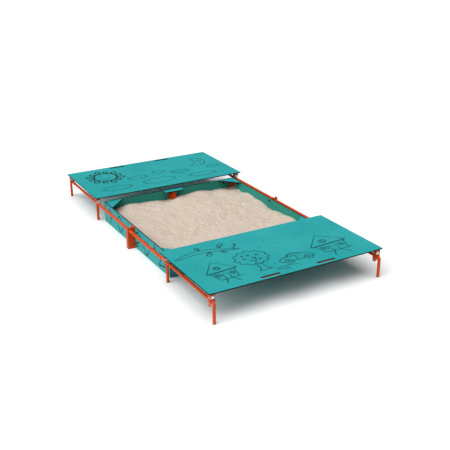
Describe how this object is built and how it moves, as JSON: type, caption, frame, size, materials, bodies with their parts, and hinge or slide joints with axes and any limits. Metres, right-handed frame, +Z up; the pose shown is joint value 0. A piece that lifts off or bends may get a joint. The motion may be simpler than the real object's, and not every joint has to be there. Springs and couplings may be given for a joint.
{
  "type": "sandbox with sliding cover",
  "caption": "Low square sandbox of laminate boards whose two-part cover slides apart on tube rails beside the box, running on grooved rollers.",
  "frame": {"origin": "on the ground, under the centre of the box", "axes": "+X along the rails towards the front cover, +Y to the right-hand rail, +Z up"},
  "size_m": [4.335, 2.234, 0.3458],
  "materials": {
    "laminate": "satin compact laminate with a black core",
    "orange_steel": "satin powder coat",
    "white_nylon": "turned nylon",
    "dark_plastic": "moulded",
    "bolt_caps": "moulded caps",
    "zinc_steel": "zinc plated",
    "sand": "loose play sand"
  },
  "bodies": {
    "root": {"bracket_bolts": "bolt_caps", "foot_caps": "dark_plastic", "front_left_corner_bracket": "orange_steel", "front_left_corner_seat": "laminate", "front_left_inner_leg": "orange_steel", "front_middle_post": "orange_steel", "front_middle_seat": "laminate", "front_right_corner_bracket": "orange_steel", "front_right_corner_seat": "laminate", "front_right_inner_leg": "orange_steel", "front_wall": "laminate", "left_guide_rail": "orange_steel", "left_side_bracket": "orange_steel", "left_wall": "laminate", "rear_left_corner_bracket": "orange_steel", "rear_left_corner_seat": "laminate", "rear_left_inner_leg": "orange_steel", "rear_middle_post": "orange_steel", "rear_middle_seat": "laminate", "rear_right_corner_bracket": "orange_steel", "rear_right_corner_seat": "laminate", "rear_right_inner_leg": "orange_steel", "rear_wall": "laminate", "right_guide_rail": "orange_steel", "right_side_bracket": "orange_steel", "right_wall": "laminate", "sand": "sand", "seat_screws": "zinc_steel", "wall_bolts": "bolt_caps"},
    "front_cover": {"front_axle_bolts": "zinc_steel", "front_cover_panel": "laminate", "front_cover_screws": "zinc_steel", "front_hook_bolts": "zinc_steel", "front_inner_beam": "orange_steel", "front_left_inner_carriage": "orange_steel", "front_left_outer_carriage": "orange_steel", "front_outer_beam": "orange_steel", "front_right_inner_carriage": "orange_steel", "front_right_outer_carriage": "orange_steel"},
    "rear_cover": {"rear_axle_bolts": "zinc_steel", "rear_cover_panel": "laminate", "rear_cover_screws": "zinc_steel", "rear_hook_bolts": "zinc_steel", "rear_inner_beam": "orange_steel", "rear_left_inner_carriage": "orange_steel", "rear_left_outer_carriage": "orange_steel", "rear_outer_beam": "orange_steel", "rear_right_inner_carriage": "orange_steel", "rear_right_outer_carriage": "orange_steel"},
    "front_left_inner_roller": {"front_left_inner_roller": "white_nylon"},
    "front_left_outer_roller": {"front_left_outer_roller": "white_nylon"},
    "front_right_inner_roller": {"front_right_inner_roller": "white_nylon"},
    "front_right_outer_roller": {"front_right_outer_roller": "white_nylon"},
    "rear_left_inner_roller": {"rear_left_inner_roller": "white_nylon"},
    "rear_left_outer_roller": {"rear_left_outer_roller": "white_nylon"},
    "rear_right_inner_roller": {"rear_right_inner_roller": "white_nylon"},
    "rear_right_outer_roller": {"rear_right_outer_roller": "white_nylon"}
  },
  "joints": [
    {"name": "front_cover_slide", "type": "slide", "parent": "root", "child": "front_cover", "axis": [-1, 0, 0], "range_m": [0, 0.977]},
    {"name": "rear_cover_slide", "type": "slide", "parent": "root", "child": "rear_cover", "axis": [1, 0, 0], "range_m": [0, 0.977]},
    {"name": "front_left_outer_roller_spin", "type": "hinge", "parent": "front_cover", "child": "front_left_outer_roller", "pos_m": [2.095, -1.069, 0.2808], "axis": [0, 1, 0], "range_deg": [-2440, 5]},
    {"name": "front_left_inner_roller_spin", "type": "hinge", "parent": "front_cover", "child": "front_left_inner_roller", "pos_m": [1.042, -1.069, 0.2808], "axis": [0, 1, 0], "range_deg": [-2440, 5]},
    {"name": "front_right_outer_roller_spin", "type": "hinge", "parent": "front_cover", "child": "front_right_outer_roller", "pos_m": [2.095, 1.069, 0.2808], "axis": [0, 1, 0], "range_deg": [-2440, 5]},
    {"name": "front_right_inner_roller_spin", "type": "hinge", "parent": "front_cover", "child": "front_right_inner_roller", "pos_m": [1.042, 1.069, 0.2808], "axis": [0, 1, 0], "range_deg": [-2440, 5]},
    {"name": "rear_left_outer_roller_spin", "type": "hinge", "parent": "rear_cover", "child": "rear_left_outer_roller", "pos_m": [-2.095, -1.069, 0.2808], "axis": [0, 1, 0], "range_deg": [-5, 2440]},
    {"name": "rear_left_inner_roller_spin", "type": "hinge", "parent": "rear_cover", "child": "rear_left_inner_roller", "pos_m": [-1.042, -1.069, 0.2808], "axis": [0, 1, 0], "range_deg": [-5, 2440]},
    {"name": "rear_right_outer_roller_spin", "type": "hinge", "parent": "rear_cover", "child": "rear_right_outer_roller", "pos_m": [-2.095, 1.069, 0.2808], "axis": [0, 1, 0], "range_deg": [-5, 2440]},
    {"name": "rear_right_inner_roller_spin", "type": "hinge", "parent": "rear_cover", "child": "rear_right_inner_roller", "pos_m": [-1.042, 1.069, 0.2808], "axis": [0, 1, 0], "range_deg": [-5, 2440]}
  ],
  "couplings": [
    {"joint": "front_left_outer_roller_spin", "follows": "front_cover_slide", "rad_per_m": -43.478},
    {"joint": "front_left_inner_roller_spin", "follows": "front_cover_slide", "rad_per_m": -43.478},
    {"joint": "front_right_outer_roller_spin", "follows": "front_cover_slide", "rad_per_m": -43.478},
    {"joint": "front_right_inner_roller_spin", "follows": "front_cover_slide", "rad_per_m": -43.478},
    {"joint": "rear_left_outer_roller_spin", "follows": "rear_cover_slide", "rad_per_m": 43.478},
    {"joint": "rear_left_inner_roller_spin", "follows": "rear_cover_slide", "rad_per_m": 43.478},
    {"joint": "rear_right_outer_roller_spin", "follows": "rear_cover_slide", "rad_per_m": 43.478},
    {"joint": "rear_right_inner_roller_spin", "follows": "rear_cover_slide", "rad_per_m": 43.478}
  ]
}
